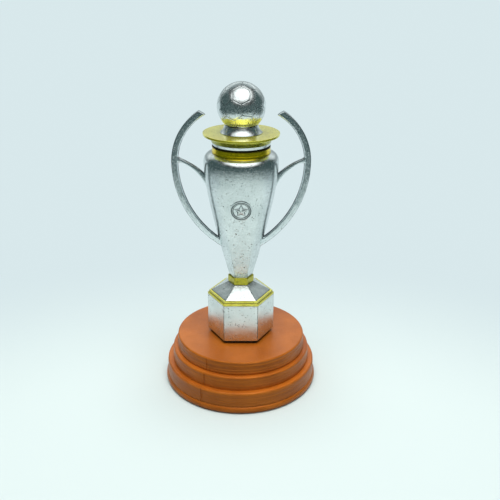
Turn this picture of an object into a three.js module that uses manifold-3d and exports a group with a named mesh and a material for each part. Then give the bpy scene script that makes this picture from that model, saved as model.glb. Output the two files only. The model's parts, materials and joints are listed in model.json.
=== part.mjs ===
// Cup trophy: a stepped round base, a six-sided plinth, a cup with two open handles
// and a lid with a ball that lifts out of the cup's neck.
// Millimetres, +Z up. The origin is the centre of the base's underside, the front faces -Y
// and both handles lie in the plane Y = 0.
import * as THREE from 'three';
import { mergeVertices } from 'three/addons/utils/BufferGeometryUtils.js';
import Module from 'manifold-3d';

const wasm = await Module();
wasm.setup();

// ---- Driving dimensions

// Base: stacked turned discs. Each tier's height is listed from the bottom up.
const BASE_RADIUS = 40;
const FLANGE_HEIGHT = 3.5;
const BASE_TIERS = [
  { name: 'base_tier_lower', radius: 39.2, height: 7.8 },
  { name: 'base_tier_middle', radius: 36.15, height: 7.2 },
  { name: 'base_tier_upper', radius: 33.5, height: 7.1 },
];
const TIER_DRAFT = 0.3;
const TIER_EDGE = 0.9;
const FLANGE_EDGE = 1.4;
const PAD_RADIUS = 36;
const PAD_THICKNESS = 1.5;
const COUNTERBORE_RADIUS = 6;
const COUNTERBORE_ROOF = 7;

// Plinth: a six-sided shell, a two-step trim, a low pyramid roof and a collar.
const PLINTH_RADIUS = 17.25;
const PLINTH_FOOT_INSET = 0.7;
const PLINTH_FOOT_HEIGHT = 0.4;
const PLINTH_WALL = 2.4;
const PLINTH_TOP = 47.1;
const TRIM_STEP_HEIGHT = 1.1;
const TRIM_UPPER_RADIUS = 16.5;
const ROOF_BASE_RADIUS = 15.75;
const ROOF_TOP_RADIUS = 6.2;
const ROOF_HEIGHT = 5.1;
const COLLAR_RADIUS = 6.6;
const COLLAR_HEIGHT = 3.8;
const COLLAR_EDGE = 0.3;

// Cup: six-sided at the foot, round at the shoulder. A half-width is measured across the corners.
const CUP_FOOT_HALF_WIDTH = 6.05;
const CUP_HALF_WIDTH = 18.24;
const CUP_SHOULDER_Z = 118.2;
const CUP_BELLY_PULL = 18.3;
const CUP_TOP_Z = 122.9;
const SHOULDER_BEND = { cornerRise: 2.6, neckInset: 1.25, neckDrop: 0.5 };
const CUP_WALL = 2;
const CUP_FLOOR_Z = 70;
const CUP_CEILING_Z = 120.5;
const ROUNDING_END_Z = 108;
const NECK_RADIUS = 14.2;
const NECK_TOP_Z = 126.2;
const NECK_LIP_RADIUS = 13.2;
const NECK_LIP_RISE = 0.3;
const NECK_SPIGOT_RADIUS = 12.7;
const NECK_SPIGOT_LENGTH = 2;
const MOUTH_RADIUS = 11.6;
const BADGE_RADIUS = 5.2;
const BADGE_Z = 98.2;
const BADGE_FACE_OFFSET = 0.5;
const BADGE_BACK_OFFSET = 0.1;

// Lid: a plug in the mouth, a ring on the neck, a wide disc, a cradle and a ball.
const LID_SEAM = 0.4;
const LID_RING_RADIUS = 14.4;
const LID_RING_BAND = 1.4;
const LID_COVE_RADIUS = 11.2;
const LID_BOSS_RADIUS = 9;
const PLUG_DEPTH = 5;
const DISC_RADIUS = 18.4;
const DISC_TOP_Z = 132.3;
const DISC_THICKNESS = 1.1;
const CRADLE_FOOT_RADIUS = 10.1;
const CRADLE_RIM_RADIUS = 8.1;
const CRADLE_HEIGHT = 3.6;
const CRADLE_HOLE_RADIUS = 5;
const CRADLE_RIM_WIDTH = 0.6;
const BALL_RADIUS = 11.58;
const BALL_CENTRE_Z = 144.56;

// Handles: two tangent arcs, a wide one below the widest point and a tight one above it.
const HANDLE_BAR_RADIUS = 1.7;
const HANDLE_REACH = 32.05;
const HANDLE_WIDEST_Z = 117.7;
const HANDLE_LOWER_ARC = 49.85;
const HANDLE_UPPER_ARC = 27.9;
const HANDLE_ROOT_TURN = THREE.MathUtils.degToRad(58.5);
const HANDLE_TIP_TURN = THREE.MathUtils.degToRad(66);
const TIP_FACE = { x: 18, z: 141.35, slope: THREE.MathUtils.degToRad(31.5) };

// Struts: a thin plate between two arcs, narrow at the handle and deep at the cup.
const STRUT_THICKNESS = 2.2;
const STRUT_EDGE = 0.4;
const STRUT_TOP_ARC = { x: 43, z: 85.2, radius: 36.9, fromDegrees: 108, toDegrees: 140 };
const STRUT_UNDER_ARC = { x: 38, z: 96.7, radius: 22.7, fromDegrees: 107, toDegrees: 166 };

// Fasteners: an M4 rod through the stack, an M3 stud in the lid and an M2 screw in each handle.
const CLEARANCE = 0.3;
const ROD = { radius: 2, nutRadius: 4.04, nutHeight: 3.2, washerRadius: 4.5, washerHeight: 0.8 };
const ROD_END = 1;
const STUD = { radius: 1.5, nutRadius: 3.18, nutHeight: 2.4 };
const STUD_END = 0.4;
const STUD_TOP_Z = 139;
const PLUG_POCKET_RADIUS = 4;
const PLUG_POCKET_DEPTH = 3;
const SCREW = { radius: 0.9, headRadius: 1.8, headHeight: 1.2, length: 4 };
const SCREW_Z = 77.8;
const SCREW_SEAT_X = 8.9;
const SCREW_HEAD_OVERLAP = 0.5;

// Facets: multiples of four and six keep round parts symmetric and in step with the hexagons.
const ROUND_SIDES = 36;
const CUP_SIDES = 36;
const LID_SIDES = 24;
const SMALL_SIDES = 12;
const BAR_SIDES = 10;
const CUP_ROWS = 9;
const SHOULDER_ROWS = 4;
const HANDLE_STEPS = 26;
const STRUT_STEPS = 6;
const BALL_ROWS = 12;
const EDGE_STEPS = 2;
const HEX_SIDES = 6;

// ---- Worked-out heights

const BASE_TOP = FLANGE_HEIGHT + BASE_TIERS.reduce((sum, tier) => sum + tier.height, 0);
const TRIM_TOP = PLINTH_TOP + 2 * TRIM_STEP_HEIGHT;
const ROOF_TOP = TRIM_TOP + ROOF_HEIGHT;
const CUP_FOOT_Z = ROOF_TOP + COLLAR_HEIGHT;
const LID_RING_Z = NECK_TOP_Z + LID_SEAM;
const DISC_UNDERSIDE_Z = DISC_TOP_Z - DISC_THICKNESS;
const PLUG_BOTTOM_Z = LID_RING_Z - PLUG_DEPTH;
const PLUG_POCKET_ROOF = PLUG_BOTTOM_Z + PLUG_POCKET_DEPTH;
const ROD_BORE = ROD.radius + CLEARANCE;
const STUD_BORE = STUD.radius + CLEARANCE;
const SCREW_BORE = SCREW.radius + CLEARANCE;
const HEX_TURN = Math.PI / HEX_SIDES;

// ---- Materials

function finish(hex, roughness, metalness) {
  return new THREE.MeshStandardMaterial({ color: new THREE.Color(hex), roughness, metalness });
}

const silver = () => finish(0xc4cacb, 0.18, 0.95);
const gold = () => finish(0xa8970f, 0.2, 0.9);
const brownPlastic = () => finish(0xb5633c, 0.55, 0);
const steel = () => finish(0x9c9fa3, 0.35, 1);
const foam = () => finish(0x2b2a29, 0.95, 0);

// ---- Shape helpers

// A solid for booleans, from a closed geometry whose shared corners are joined.
function solidFrom(geometry) {
  const bare = geometry.clone();
  bare.deleteAttribute('normal');
  bare.deleteAttribute('uv');
  const merged = mergeVertices(bare, 1e-4);
  const vertProperties = new Float32Array(merged.attributes.position.array);
  const triVerts = new Uint32Array(merged.index.array);
  return new wasm.Manifold(new wasm.Mesh({ numProp: 3, vertProperties, triVerts }));
}

function geometryFrom(solid) {
  const mesh = solid.getMesh();
  const geometry = new THREE.BufferGeometry();
  geometry.setAttribute('position', new THREE.BufferAttribute(mesh.vertProperties, 3));
  geometry.setIndex(new THREE.BufferAttribute(mesh.triVerts, 1));
  geometry.computeVertexNormals();
  return geometry;
}

// A turned body about Z. The outline holds [radius, height] pairs, with its outside going up.
function turned(outline, sides = ROUND_SIDES) {
  const points = outline.map(([radius, height]) => new THREE.Vector2(radius, height));
  return new THREE.LatheGeometry(points, sides).rotateX(Math.PI / 2);
}

// A turned ring: its outline closes on itself.
const turnedRing = (outline, sides) => turned([...outline, outline[0]], sides);

// Points of a rounded edge about a centre, between two angles in degrees.
function edgeArc(centreRadius, centreHeight, size, fromDegrees, toDegrees) {
  return Array.from({ length: EDGE_STEPS + 1 }, (_, step) => {
    const angle = THREE.MathUtils.degToRad(fromDegrees + ((toDegrees - fromDegrees) * step) / EDGE_STEPS);
    return [centreRadius + size * Math.cos(angle), centreHeight + size * Math.sin(angle)];
  });
}

// A straight or tapered column about Z. Six sides put a flat face to the front.
function column(bottomRadius, topRadius, bottomZ, topZ, sides = SMALL_SIDES) {
  const height = topZ - bottomZ;
  const turn = sides === HEX_SIDES ? HEX_TURN : 0;
  return new THREE.CylinderGeometry(topRadius, bottomRadius, height, sides, 1, false, turn)
    .rotateX(Math.PI / 2)
    .translate(0, 0, bottomZ + height / 2);
}

const hexColumn = (bottomRadius, topRadius, bottomZ, topZ) =>
  column(bottomRadius, topRadius, bottomZ, topZ, HEX_SIDES);

// A column along X between two places, for a screw on one side.
function columnAlongX(radius, fromX, toX, z, sides = SMALL_SIDES) {
  return new THREE.CylinderGeometry(radius, radius, Math.abs(toX - fromX), sides)
    .rotateZ(Math.PI / 2)
    .translate((fromX + toX) / 2, 0, z);
}

function cut(geometry, ...tools) {
  return geometryFrom(tools.reduce((solid, tool) => solid.subtract(solidFrom(tool)), solidFrom(geometry)));
}

function join(geometry, ...others) {
  return geometryFrom(others.reduce((solid, other) => solid.add(solidFrom(other)), solidFrom(geometry)));
}

const boreFrom = (radius, bottomZ, topZ) => column(radius, radius, bottomZ - 1, topZ + 1);

function piece(name, geometry, material) {
  const mesh = new THREE.Mesh(geometry, material);
  mesh.name = name;
  return mesh;
}

// ---- Base

// The lowest disc: a rounded rim, a recess for the pad and a clear hole for the rod's nut.
function baseFlange() {
  const lowerEdge = edgeArc(BASE_RADIUS - FLANGE_EDGE, FLANGE_EDGE, FLANGE_EDGE, -90, 0);
  const upperEdge = edgeArc(BASE_RADIUS - FLANGE_EDGE, FLANGE_HEIGHT - FLANGE_EDGE, FLANGE_EDGE, 0, 90);
  return turnedRing([
    [COUNTERBORE_RADIUS, PAD_THICKNESS],
    [PAD_RADIUS + CLEARANCE, PAD_THICKNESS],
    [PAD_RADIUS + CLEARANCE, 0],
    ...lowerEdge,
    ...upperEdge,
    [COUNTERBORE_RADIUS, FLANGE_HEIGHT],
  ]);
}

// A tier: a slightly tapered wall, a rounded top edge and a bore for the rod.
function baseTier(tier, bottomZ, hasCounterbore) {
  const topZ = bottomZ + tier.height;
  const rimRadius = tier.radius - TIER_DRAFT;
  const outside = [
    [tier.radius, bottomZ],
    ...edgeArc(rimRadius - TIER_EDGE, topZ - TIER_EDGE, TIER_EDGE, 0, 90),
    [ROD_BORE, topZ],
  ];
  const counterbore = [
    [ROD_BORE, COUNTERBORE_ROOF],
    [COUNTERBORE_RADIUS, COUNTERBORE_ROOF],
    [COUNTERBORE_RADIUS, bottomZ],
  ];
  const inside = hasCounterbore ? counterbore : [[ROD_BORE, bottomZ]];
  return turnedRing([...inside, ...outside]);
}

function base() {
  const group = new THREE.Group();
  group.add(piece('base_pad', column(PAD_RADIUS, PAD_RADIUS, 0, PAD_THICKNESS, ROUND_SIDES), foam()));
  group.add(piece('base_flange', baseFlange(), brownPlastic()));
  let bottomZ = FLANGE_HEIGHT;
  BASE_TIERS.forEach((tier, index) => {
    group.add(piece(tier.name, baseTier(tier, bottomZ, index === 0), brownPlastic()));
    bottomZ += tier.height;
  });
  return group;
}

// ---- Plinth

// Six walls on an inset foot, which leaves a thin shadow line above the base.
function plinthShell() {
  const wallZ = BASE_TOP + PLINTH_FOOT_HEIGHT;
  const outer = hexColumn(PLINTH_RADIUS, PLINTH_RADIUS, wallZ, PLINTH_TOP);
  const footRadius = PLINTH_RADIUS - PLINTH_FOOT_INSET;
  const foot = hexColumn(footRadius, footRadius, BASE_TOP, wallZ + PLINTH_WALL);
  const hollowRadius = PLINTH_RADIUS - PLINTH_WALL / Math.cos(HEX_TURN);
  const hollow = hexColumn(hollowRadius, hollowRadius, BASE_TOP - 1, PLINTH_TOP + 1);
  return cut(join(outer, foot), hollow);
}

function plinthTrim() {
  const stepZ = PLINTH_TOP + TRIM_STEP_HEIGHT;
  const lower = hexColumn(PLINTH_RADIUS, PLINTH_RADIUS, PLINTH_TOP, stepZ);
  const upper = hexColumn(TRIM_UPPER_RADIUS, TRIM_UPPER_RADIUS, stepZ - TRIM_STEP_HEIGHT / 2, TRIM_TOP);
  return cut(join(lower, upper), boreFrom(ROD_BORE, PLINTH_TOP, TRIM_TOP));
}

function plinthRoof() {
  const pyramid = hexColumn(ROOF_BASE_RADIUS, ROOF_TOP_RADIUS, TRIM_TOP, ROOF_TOP);
  return cut(pyramid, boreFrom(ROD_BORE, TRIM_TOP, ROOF_TOP));
}

function stemCollar() {
  const edgeZ = CUP_FOOT_Z - COLLAR_EDGE;
  const band = hexColumn(COLLAR_RADIUS, COLLAR_RADIUS, ROOF_TOP, edgeZ);
  const bevel = hexColumn(COLLAR_RADIUS, COLLAR_RADIUS - COLLAR_EDGE, edgeZ, CUP_FOOT_Z);
  return cut(join(band, bevel), boreFrom(ROD_BORE, ROOF_TOP, CUP_FOOT_Z));
}

function plinth() {
  const group = new THREE.Group();
  group.add(piece('hex_plinth', plinthShell(), silver()));
  group.add(piece('plinth_trim', plinthTrim(), gold()));
  group.add(piece('plinth_roof', plinthRoof(), silver()));
  group.add(piece('stem_collar', stemCollar(), gold()));
  return group;
}

// ---- Cup

// The cup's outline, half-width against height: a long flare and a rounded shoulder.
function cupOutline() {
  const foot = new THREE.Vector2(CUP_FOOT_HALF_WIDTH, CUP_FOOT_Z);
  const shoulder = new THREE.Vector2(CUP_HALF_WIDTH, CUP_SHOULDER_Z);
  const belly = new THREE.Vector2(CUP_HALF_WIDTH, CUP_SHOULDER_Z - CUP_BELLY_PULL);
  const { cornerRise, neckInset, neckDrop } = SHOULDER_BEND;
  const outerCorner = new THREE.Vector2(CUP_HALF_WIDTH, CUP_SHOULDER_Z + cornerRise);
  const innerCorner = new THREE.Vector2(CUP_HALF_WIDTH - neckInset, CUP_TOP_Z - neckDrop);
  const neck = new THREE.Vector2(NECK_RADIUS, CUP_TOP_Z);
  const flare = new THREE.CubicBezierCurve(foot, foot, belly, shoulder).getPoints(CUP_ROWS);
  const bend = new THREE.CubicBezierCurve(shoulder, outerCorner, innerCorner, neck).getPoints(SHOULDER_ROWS);
  return [...flare, ...bend.slice(1)];
}

// One level of the cup: a hexagon with a corner on X at the foot, a circle from ROUNDING_END_Z up.
function cupSection(halfWidth, z) {
  const rise = THREE.MathUtils.smoothstep(z, CUP_FOOT_Z, ROUNDING_END_Z);
  const sector = (2 * Math.PI) / HEX_SIDES;
  return Array.from({ length: CUP_SIDES }, (_, index) => {
    const angle = (2 * Math.PI * index) / CUP_SIDES;
    const fromFlat = (angle % sector) - sector / 2;
    const hexagon = Math.cos(sector / 2) / Math.cos(fromFlat);
    const radius = halfWidth * THREE.MathUtils.lerp(hexagon, 1, rise);
    return new THREE.Vector3(radius * Math.cos(angle), radius * Math.sin(angle), z);
  });
}

// A closed solid through a stack of level sections, with flat ends.
function loft(sections) {
  const sides = sections[0].length;
  const bottom = new THREE.Vector3(0, 0, sections[0][0].z);
  const top = new THREE.Vector3(0, 0, sections.at(-1)[0].z);
  const corners = [...sections.flat(), bottom, top];
  const bottomIndex = corners.length - 2;
  const topIndex = corners.length - 1;
  const lastRow = (sections.length - 1) * sides;
  const faces = [];
  for (let side = 0; side < sides; side += 1) {
    const next = (side + 1) % sides;
    for (let row = 0; row < lastRow; row += sides) {
      const [a, b, c, d] = [row + side, row + next, row + sides + next, row + sides + side];
      faces.push(a, b, c, a, c, d);
    }
    faces.push(bottomIndex, next, side, topIndex, lastRow + side, lastRow + next);
  }
  const geometry = new THREE.BufferGeometry().setFromPoints(corners);
  geometry.setIndex(faces);
  return geometry;
}

// The cup as a full block, grown outwards by an offset.
function cupBlock(offset) {
  return loft(cupOutline().map((point) => cupSection(point.x + offset, point.y)));
}

function cupHollow() {
  const between = column(BASE_RADIUS, BASE_RADIUS, CUP_FLOOR_Z, CUP_CEILING_Z);
  return geometryFrom(solidFrom(cupBlock(-CUP_WALL)).intersect(solidFrom(between)));
}

function cupBody() {
  const neckBore = NECK_SPIGOT_RADIUS + CLEARANCE;
  const tools = [
    cupHollow(),
    column(neckBore, neckBore, CUP_CEILING_Z - 1, CUP_TOP_Z + 1, CUP_SIDES),
    boreFrom(ROD_BORE, CUP_FOOT_Z, CUP_FLOOR_Z),
  ];
  for (const side of [-1, 1]) {
    tools.push(columnAlongX(SCREW_BORE, 0, side * (SCREW_SEAT_X + SCREW.length), SCREW_Z));
    tools.push(columnAlongX(SCREW.headRadius + CLEARANCE, 0, side * SCREW_SEAT_X, SCREW_Z));
  }
  return cut(cupBlock(0), ...tools);
}

function neckRing() {
  const spigotZ = CUP_TOP_Z - NECK_SPIGOT_LENGTH;
  const lipZ = NECK_TOP_Z + NECK_LIP_RISE;
  return turnedRing([
    [MOUTH_RADIUS, spigotZ],
    [NECK_SPIGOT_RADIUS, spigotZ],
    [NECK_SPIGOT_RADIUS, CUP_TOP_Z],
    [NECK_RADIUS, CUP_TOP_Z],
    [NECK_RADIUS, NECK_TOP_Z],
    [NECK_LIP_RADIUS, NECK_TOP_Z],
    [NECK_LIP_RADIUS, lipZ],
    [MOUTH_RADIUS, lipZ],
  ], LID_SIDES);
}

// A thin round badge that follows the cup's front.
function badge() {
  const disc = new THREE.CylinderGeometry(BADGE_RADIUS, BADGE_RADIUS, CUP_HALF_WIDTH, LID_SIDES)
    .translate(0, -CUP_HALF_WIDTH, BADGE_Z);
  const skin = solidFrom(cupBlock(BADGE_FACE_OFFSET)).subtract(solidFrom(cupBlock(BADGE_BACK_OFFSET)));
  return geometryFrom(skin.intersect(solidFrom(disc)));
}

// ---- Handles

// The centre line of one handle, by arc length, from inside the cup wall to the free tip.
class HandleLine extends THREE.Curve {
  getPoint(share) {
    const lowerLength = HANDLE_LOWER_ARC * HANDLE_ROOT_TURN;
    const upperLength = HANDLE_UPPER_ARC * HANDLE_TIP_TURN;
    const along = share * (lowerLength + upperLength) - lowerLength;
    const arc = along < 0 ? HANDLE_LOWER_ARC : HANDLE_UPPER_ARC;
    const angle = along / arc;
    const x = HANDLE_REACH - arc * (1 - Math.cos(angle));
    return new THREE.Vector3(x, 0, HANDLE_WIDEST_Z + arc * Math.sin(angle));
  }
}

function barAlong(line, radius, steps) {
  const section = new THREE.Shape().absarc(0, 0, radius, 0, 2 * Math.PI);
  return new THREE.ExtrudeGeometry(section, {
    extrudePath: line,
    steps,
    curveSegments: BAR_SIDES / 2,
    bevelEnabled: false,
  });
}

// A block above the sloping plane that ends a handle's bar.
function tipBlock() {
  const size = BASE_RADIUS;
  return new THREE.BoxGeometry(size, size, size)
    .translate(0, 0, size / 2)
    .rotateY(-TIP_FACE.slope)
    .translate(TIP_FACE.x, 0, TIP_FACE.z);
}

function handle() {
  const bar = barAlong(new HandleLine(), HANDLE_BAR_RADIUS, HANDLE_STEPS);
  const screwHole = columnAlongX(SCREW_BORE, 0, SCREW_SEAT_X + SCREW.length + CLEARANCE, SCREW_Z);
  return cut(bar, cupBlock(CLEARANCE), tipBlock(), screwHole);
}

function strut() {
  const radians = THREE.MathUtils.degToRad;
  const [top, under] = [STRUT_TOP_ARC, STRUT_UNDER_ARC];
  const outline = new THREE.Shape()
    .absarc(top.x, top.z, top.radius, radians(top.fromDegrees), radians(top.toDegrees))
    .absarc(under.x, under.z, under.radius, radians(under.toDegrees), radians(under.fromDegrees), true);
  const plate = new THREE.ExtrudeGeometry(outline, {
    depth: STRUT_THICKNESS - 2 * STRUT_EDGE,
    curveSegments: STRUT_STEPS,
    bevelThickness: STRUT_EDGE,
    bevelSize: STRUT_EDGE,
    bevelOffset: -STRUT_EDGE,
    bevelSegments: 1,
  }).translate(0, 0, STRUT_EDGE - STRUT_THICKNESS / 2).rotateX(Math.PI / 2);
  const clearOfHandle = barAlong(new HandleLine(), HANDLE_BAR_RADIUS + CLEARANCE, HANDLE_STEPS);
  return cut(plate, cupBlock(CLEARANCE), clearOfHandle);
}

function handleScrew() {
  const head = columnAlongX(SCREW.headRadius, SCREW_SEAT_X - SCREW.headHeight, SCREW_SEAT_X, SCREW_Z);
  const shankStart = SCREW_SEAT_X - SCREW_HEAD_OVERLAP;
  const shank = columnAlongX(SCREW.radius, shankStart, SCREW_SEAT_X + SCREW.length, SCREW_Z);
  return join(head, shank);
}

// The right-hand pieces are made at +X, and a half turn about Z makes the left-hand ones.
function handles() {
  const group = new THREE.Group();
  for (const [side, turn] of [['right', 0], ['left', Math.PI]]) {
    const half = new THREE.Group();
    half.rotation.z = turn;
    half.add(piece(`${side}_handle`, handle(), silver()));
    half.add(piece(`${side}_handle_strut`, strut(), silver()));
    half.add(piece(`${side}_handle_screw`, handleScrew(), steel()));
    group.add(half);
  }
  return group;
}

function cup() {
  const group = new THREE.Group();
  group.add(piece('cup_body', cupBody(), silver()));
  group.add(piece('neck_ring', neckRing(), gold()));
  group.add(piece('front_badge', badge(), silver()));
  group.add(handles());
  return group;
}

// ---- Rod through the stack

function nut(size, bottomZ) {
  const block = hexColumn(size.nutRadius, size.nutRadius, bottomZ, bottomZ + size.nutHeight);
  return cut(block, boreFrom(size.radius + CLEARANCE, bottomZ, bottomZ + size.nutHeight));
}

function washer(size, bottomZ) {
  const topZ = bottomZ + size.washerHeight;
  const hole = size.radius + CLEARANCE;
  return turnedRing([
    [hole, bottomZ], [size.washerRadius, bottomZ], [size.washerRadius, topZ], [hole, topZ],
  ], LID_SIDES);
}

function rodSet() {
  const lowerWasherZ = COUNTERBORE_ROOF - ROD.washerHeight;
  const lowerNutZ = lowerWasherZ - ROD.nutHeight;
  const upperNutZ = CUP_FLOOR_Z + ROD.washerHeight;
  const rodTop = upperNutZ + ROD.nutHeight + ROD_END;
  const group = new THREE.Group();
  group.add(piece('tie_rod', column(ROD.radius, ROD.radius, lowerNutZ - ROD_END, rodTop), steel()));
  group.add(piece('rod_nut_lower', nut(ROD, lowerNutZ), steel()));
  group.add(piece('rod_washer_lower', washer(ROD, lowerWasherZ), steel()));
  group.add(piece('rod_washer_upper', washer(ROD, CUP_FLOOR_Z), steel()));
  group.add(piece('rod_nut_upper', nut(ROD, upperNutZ), steel()));
  return group;
}

// ---- Lid

// A plug for the cup's mouth, with a boss up to the disc and a pocket below for the stud's nut.
function lidPlug() {
  const plugRadius = MOUTH_RADIUS - CLEARANCE;
  return turnedRing([
    [STUD_BORE, PLUG_POCKET_ROOF],
    [PLUG_POCKET_RADIUS, PLUG_POCKET_ROOF],
    [PLUG_POCKET_RADIUS, PLUG_BOTTOM_Z],
    [plugRadius, PLUG_BOTTOM_Z],
    [plugRadius, LID_RING_Z],
    [LID_BOSS_RADIUS, LID_RING_Z],
    [LID_BOSS_RADIUS, DISC_UNDERSIDE_Z],
    [STUD_BORE, DISC_UNDERSIDE_Z],
  ], LID_SIDES);
}

// A band on the neck with a hollow cove that narrows up to the disc.
function lidRing() {
  const bandTop = LID_RING_Z + LID_RING_BAND;
  const cove = new THREE.QuadraticBezierCurve(
    new THREE.Vector2(LID_RING_RADIUS - CLEARANCE, bandTop),
    new THREE.Vector2(LID_COVE_RADIUS + CLEARANCE, bandTop + CLEARANCE),
    new THREE.Vector2(LID_COVE_RADIUS, DISC_UNDERSIDE_Z),
  ).getPoints(EDGE_STEPS + 2);
  const inside = LID_BOSS_RADIUS + CLEARANCE;
  return turnedRing([
    [inside, LID_RING_Z],
    [LID_RING_RADIUS, LID_RING_Z],
    [LID_RING_RADIUS, bandTop - CLEARANCE],
    ...cove.map((point) => [point.x, point.y]),
    [inside, DISC_UNDERSIDE_Z],
  ], LID_SIDES);
}

function lidDisc() {
  const edge = DISC_THICKNESS / 2;
  return turnedRing([
    [STUD_BORE, DISC_UNDERSIDE_Z],
    ...edgeArc(DISC_RADIUS - edge, DISC_UNDERSIDE_Z + edge, edge, -90, 90),
    [STUD_BORE, DISC_TOP_Z],
  ]);
}

// The height of the ball's underside, grown by a gap, at a distance from its axis.
const underBall = (radius, gap) => BALL_CENTRE_Z - Math.sqrt((BALL_RADIUS + gap) ** 2 - radius ** 2);

// A waisted ring whose hollow top holds the ball.
function ballCradle() {
  const rimZ = DISC_TOP_Z + CRADLE_HEIGHT;
  const seatRadius = CRADLE_RIM_RADIUS - CRADLE_RIM_WIDTH;
  const middleRadius = (seatRadius + CRADLE_HOLE_RADIUS) / 2;
  const waist = new THREE.QuadraticBezierCurve(
    new THREE.Vector2(CRADLE_FOOT_RADIUS, DISC_TOP_Z),
    new THREE.Vector2(CRADLE_RIM_RADIUS, DISC_TOP_Z + CRADLE_HEIGHT / 3),
    new THREE.Vector2(CRADLE_RIM_RADIUS, rimZ),
  ).getPoints(EDGE_STEPS);
  return turnedRing([
    [CRADLE_HOLE_RADIUS, DISC_TOP_Z],
    ...waist.map((point) => [point.x, point.y]),
    [seatRadius, underBall(seatRadius, CLEARANCE)],
    [middleRadius, underBall(middleRadius, CLEARANCE)],
    [CRADLE_HOLE_RADIUS, underBall(CRADLE_HOLE_RADIUS, CLEARANCE)],
  ], LID_SIDES);
}

// The ball, with a blind hole from below for the stud.
function ball() {
  const holeTop = STUD_TOP_Z + CLEARANCE;
  const mouthAngle = -Math.acos(STUD_BORE / BALL_RADIUS);
  const outside = Array.from({ length: BALL_ROWS + 1 }, (_, row) => {
    const angle = THREE.MathUtils.lerp(mouthAngle, Math.PI / 2, row / BALL_ROWS);
    return [BALL_RADIUS * Math.cos(angle), BALL_CENTRE_Z + BALL_RADIUS * Math.sin(angle)];
  });
  outside[BALL_ROWS][0] = 0;
  return turned([[0, holeTop], [STUD_BORE, holeTop], ...outside], LID_SIDES);
}

function lid() {
  const nutZ = PLUG_POCKET_ROOF - STUD.nutHeight;
  const group = new THREE.Group();
  group.add(piece('lid_plug', lidPlug(), silver()));
  group.add(piece('lid_ring', lidRing(), silver()));
  group.add(piece('lid_disc', lidDisc(), gold()));
  group.add(piece('ball_cradle', ballCradle(), silver()));
  group.add(piece('ball_finial', ball(), silver()));
  group.add(piece('finial_stud', column(STUD.radius, STUD.radius, nutZ - STUD_END, STUD_TOP_Z), steel()));
  group.add(piece('finial_nut', nut(STUD, nutZ), steel()));
  return group;
}

// ---- The whole trophy

const trophy = new THREE.Group();
trophy.add(base(), plinth(), cup(), rodSet(), lid());

export default trophy;
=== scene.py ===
"""Cup trophy: fine surfaces, materials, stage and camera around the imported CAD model.

Shapes are worked out in millimetres from the boxes of the CAD nodes, and become metres when a piece is
made. The trophy stands on the floor, Z up, with its front towards -Y.
"""

import functools
import json
import math

import bmesh
import bpy
import numpy as np
from mathutils import Matrix, Vector, noise

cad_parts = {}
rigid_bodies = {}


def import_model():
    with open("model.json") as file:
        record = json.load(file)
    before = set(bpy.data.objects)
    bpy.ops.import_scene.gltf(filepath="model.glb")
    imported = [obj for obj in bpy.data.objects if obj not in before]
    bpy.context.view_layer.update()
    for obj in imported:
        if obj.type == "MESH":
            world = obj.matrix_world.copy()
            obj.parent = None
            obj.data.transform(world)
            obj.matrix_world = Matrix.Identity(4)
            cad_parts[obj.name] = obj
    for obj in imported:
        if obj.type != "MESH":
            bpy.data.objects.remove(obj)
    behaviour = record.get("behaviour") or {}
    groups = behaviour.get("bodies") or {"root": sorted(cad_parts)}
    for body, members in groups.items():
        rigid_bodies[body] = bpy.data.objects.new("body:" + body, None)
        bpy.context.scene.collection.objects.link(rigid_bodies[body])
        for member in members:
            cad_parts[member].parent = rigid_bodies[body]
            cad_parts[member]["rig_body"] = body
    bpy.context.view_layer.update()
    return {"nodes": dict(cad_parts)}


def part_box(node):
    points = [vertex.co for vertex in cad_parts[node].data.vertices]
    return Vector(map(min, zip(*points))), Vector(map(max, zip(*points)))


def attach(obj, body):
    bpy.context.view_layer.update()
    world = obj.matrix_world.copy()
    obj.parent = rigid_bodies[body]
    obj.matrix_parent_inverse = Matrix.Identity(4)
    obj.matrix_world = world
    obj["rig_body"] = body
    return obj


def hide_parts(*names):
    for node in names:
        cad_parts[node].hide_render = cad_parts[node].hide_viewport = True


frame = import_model()

MM = 0.001
FRONT = -math.pi / 2


# ---- Reading the frame


@functools.cache
def box(node):
    """Lowest and highest corner of a CAD node at rest, in millimetres."""
    low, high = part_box(node)
    return np.array(low) / MM, np.array(high) / MM


def reach(node):
    """Half-width of a node along X, which is its radius or its corner radius."""
    return box(node)[1][0]


def heights(node):
    """Lowest and highest Z of a node."""
    low, high = box(node)
    return low[2], high[2]


def span(node):
    """Lowest and highest Z of a node, and its half-width."""
    return *heights(node), reach(node)


# ---- Points round each part, sharpness of the hexagons' corners, and random seeds

COLUMNS = {"base": 320, "pad": 180, "neck": 240, "badge": 180, "lid": 240, "disc": 320, "ball": 380,
           "thread": 24, "washer": 96}
SHARPNESS = {"plinth": 190, "roof": 150, "collar": 90, "cup": 34, "nut": 120, "socket": 80}
SEEDS = {"flange": 3, "foot": 5, "tier": 11, "handle": 21}


# ---- Sizes that the boxes don't give, in millimetres
#
# Wear and painted shade are strengths. Angles are in radians, apart from the ends of the struts' arcs, in
# degrees.

CLEARANCE = 0.3
ROD_BORE = 2.3
STUD_BORE = 1.8

FLANGE_EDGE = 1.4
PAD_RECESS = 36.3
COUNTERBORE = {"radius": 6.0, "roof": 7.0}
TIER_DRAFT = 0.3
TIER_EDGE = 0.9
LAYER = 0.3
LAYER_GROOVE = 0.05
LAYER_SCATTER = 0.06
BAND_SCATTER = 0.16
BAND_LAYERS = 3
LAYER_WAVES = {"count": 3, "depth": 0.012}
THINNED = 12
SEAM_ANGLE = FRONT - math.radians(30.5)
SEAM = {"depth": 0.4, "width": 0.16, "wander": 0.10, "weld": 0.10, "weld_place": 2.2}

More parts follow.
